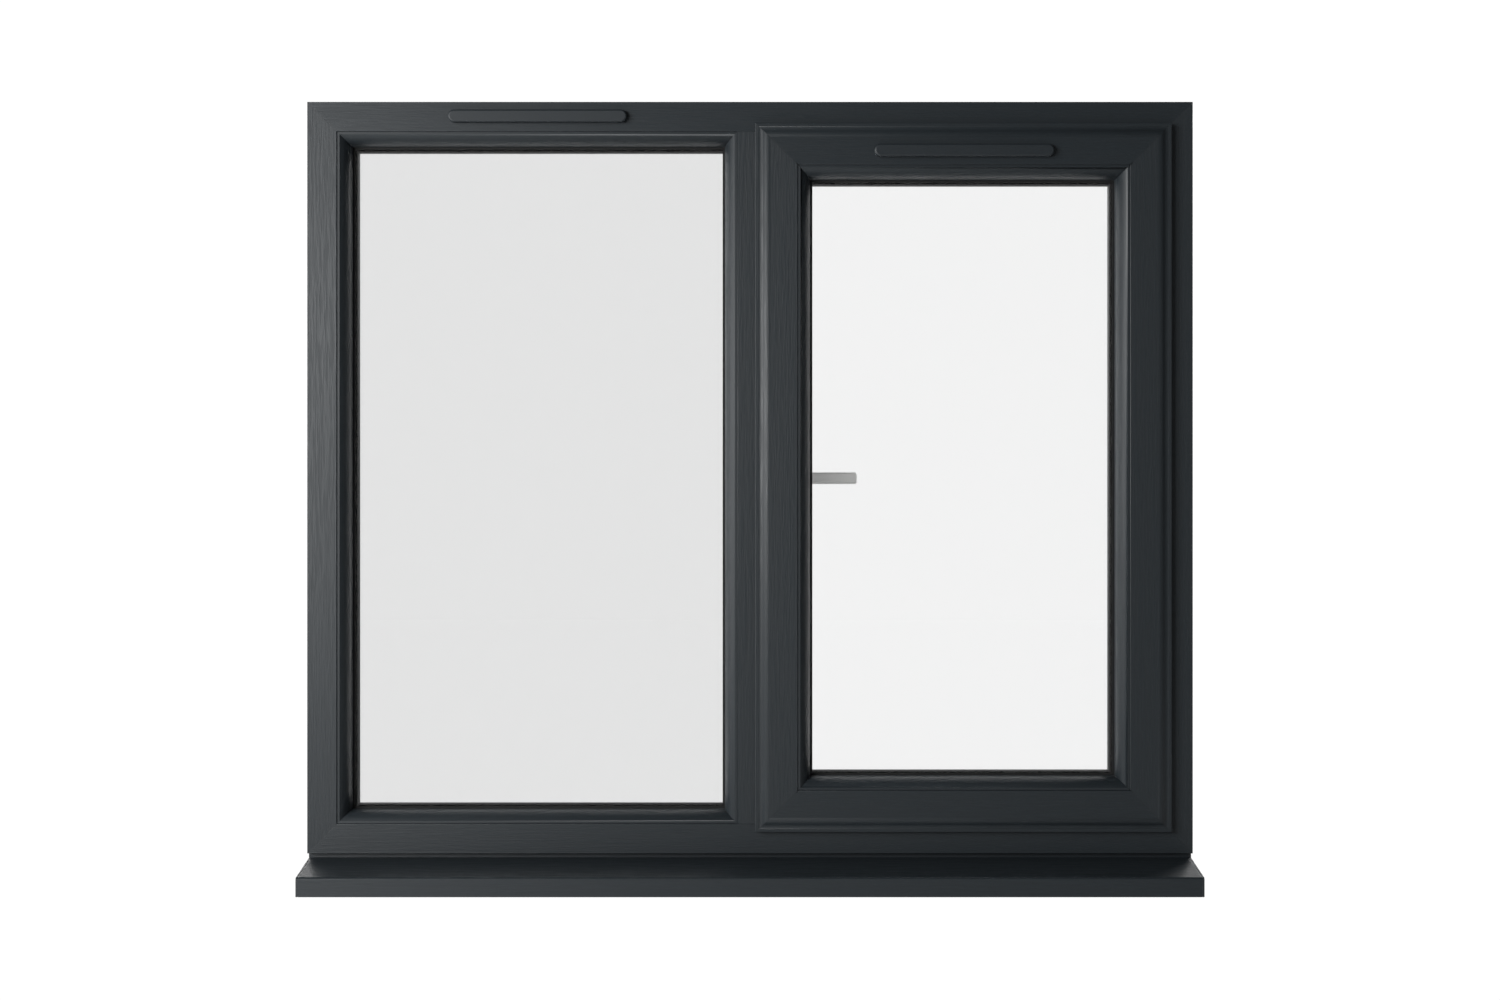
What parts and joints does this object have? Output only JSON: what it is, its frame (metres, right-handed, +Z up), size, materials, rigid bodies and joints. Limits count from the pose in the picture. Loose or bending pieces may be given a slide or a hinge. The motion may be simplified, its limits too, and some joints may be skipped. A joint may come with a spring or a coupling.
{
  "type": "casement window",
  "caption": "Casement window with a fixed light, a side-hung outward-opening sash on friction stays, trickle vents and a projecting cill.",
  "frame": {"origin": "underside of the cill at mid width, in the plane of the outer frame's outside face", "axes": "+X to the right seen from outside, +Y into the building, +Z up"},
  "size_m": [1.19, 0.172, 1.055],
  "materials": {
    "frame_foil": "woodgrain foil",
    "sash_foil": "woodgrain foil",
    "bead_foil": "woodgrain foil",
    "cill_foil": "woodgrain foil",
    "cap_plastic": "moulded, fine texture",
    "glass": "clear float glass",
    "seal_rubber": "matt black",
    "edge_sealant": "matt",
    "spacer_bar": "black warm-edge bar",
    "packer_plastic": "moulded",
    "galvanised_steel": "zinc coated",
    "canopy_plastic": "fine satin",
    "vent_plastic": "fine satin",
    "screw_steel": "zinc plated",
    "stay_plastic": "moulded",
    "slider_plastic": "moulded nylon",
    "stay_steel": "ferritic stainless",
    "cam_steel": "zinc plated",
    "lock_steel": "zinc plated",
    "handle_paint": "white satin powder coat",
    "button_chrome": "polished"
  },
  "bodies": {
    "frame": {"cill_body": "cill_foil", "cill_end_caps": "cap_plastic", "cill_screws": "screw_steel", "fixed_beads": "bead_foil", "fixed_edge_seal": "edge_sealant", "fixed_gasket_inner": "seal_rubber", "fixed_gasket_outer": "seal_rubber", "fixed_packers": "packer_plastic", "fixed_pane_inner": "glass", "fixed_pane_outer": "glass", "fixed_spacer": "spacer_bar", "frame_bottom_rail": "frame_foil", "frame_head": "frame_foil", "frame_jamb_fixed": "frame_foil", "frame_jamb_hinge": "frame_foil", "frame_mullion": "frame_foil", "frame_steels": "galvanised_steel", "frame_vent_body": "vent_plastic", "frame_vent_canopy": "canopy_plastic", "frame_vent_screws": "screw_steel", "frame_weather_seal": "seal_rubber", "lock_keep_screws": "screw_steel", "lock_keeps": "lock_steel", "stay_end_caps": "stay_plastic", "stay_track_screws": "screw_steel", "stay_tracks": "stay_steel"},
    "sash": {"handle_base": "handle_paint", "handle_screws": "screw_steel", "lock_faceplate": "lock_steel", "lock_gearbox": "lock_steel", "sash_beads": "bead_foil", "sash_bottom_rail": "sash_foil", "sash_edge_seal": "edge_sealant", "sash_gasket_inner": "seal_rubber", "sash_gasket_outer": "seal_rubber", "sash_hinge_stile": "sash_foil", "sash_lock_stile": "sash_foil", "sash_packers": "packer_plastic", "sash_pane_inner": "glass", "sash_pane_outer": "glass", "sash_spacer": "spacer_bar", "sash_steels": "galvanised_steel", "sash_top_rail": "sash_foil", "sash_vent_body": "vent_plastic", "sash_vent_canopy": "canopy_plastic", "sash_vent_screws": "screw_steel", "sash_weather_seal": "seal_rubber", "stay_arm_screws": "screw_steel", "stay_sash_arms": "stay_steel"},
    "stay_short_arms": {"stay_short_arms": "stay_steel"},
    "stay_long_arms": {"stay_long_arms": "stay_steel"},
    "stay_shoes": {"stay_shoes": "slider_plastic"},
    "handle": {"handle_lever": "handle_paint", "handle_spindle": "lock_steel"},
    "lock_button": {"handle_button": "button_chrome"},
    "lock_drive": {"lock_drive_rail": "lock_steel", "lock_cams": "cam_steel"},
    "frame_flap": {"frame_vent_flap": "vent_plastic"},
    "sash_flap": {"sash_vent_flap": "vent_plastic"}
  },
  "joints": [
    {"name": "stay_short_arm_swing", "type": "hinge", "parent": "frame", "child": "stay_short_arms", "pos_m": [0.50722, 0.024, 0.535], "axis": [0, 0, -1], "range_deg": [0, 60]},
    {"name": "sash_swing", "type": "hinge", "parent": "stay_short_arms", "child": "sash", "pos_m": [0.547, 0.01982, 0.535], "axis": [0, 0, 1], "range_deg": [0, 120]},
    {"name": "stay_long_arm_swing", "type": "hinge", "parent": "sash", "child": "stay_long_arms", "pos_m": [0.4376, 0.00832, 0.535], "axis": [0, 0, -1], "range_deg": [0, 120]},
    {"name": "stay_shoe_pivot", "type": "hinge", "parent": "stay_long_arms", "child": "stay_shoes", "pos_m": [0.28842, 0.024, 0.535], "axis": [0, 0, 1], "range_deg": [0, 60]},
    {"name": "handle_turn", "type": "hinge", "parent": "sash", "child": "handle", "pos_m": [0.055, 0.06, 0.535], "axis": [0, 1, 0], "range_deg": [0, 90]},
    {"name": "lock_drive_slide", "type": "slide", "parent": "sash", "child": "lock_drive", "axis": [0, 0, 1], "range_m": [0, 0.02]},
    {"name": "lock_button_press", "type": "slide", "parent": "handle", "child": "lock_button", "axis": [0, -1, 0], "range_m": [0, 0.0025], "stiffness_N_per_m": 400},
    {"name": "frame_vent_flap_turn", "type": "hinge", "parent": "frame", "child": "frame_flap", "pos_m": [-0.285, 0.0769, 1.0106], "axis": [-1, 0, 0], "range_deg": [0, 45]},
    {"name": "sash_vent_flap_turn", "type": "hinge", "parent": "sash", "child": "sash_flap", "pos_m": [0.286, 0.0619, 0.9666], "axis": [-1, 0, 0], "range_deg": [0, 45]}
  ],
  "couplings": [
    {"joint": "stay_short_arm_swing", "follows": "sash_swing", "ratio": 0.5},
    {"joint": "stay_long_arm_swing", "follows": "sash_swing", "ratio": 1},
    {"joint": "stay_shoe_pivot", "follows": "sash_swing", "ratio": 0.5},
    {"joint": "lock_drive_slide", "follows": "handle_turn", "m_per_rad": 0.012732}
  ]
}
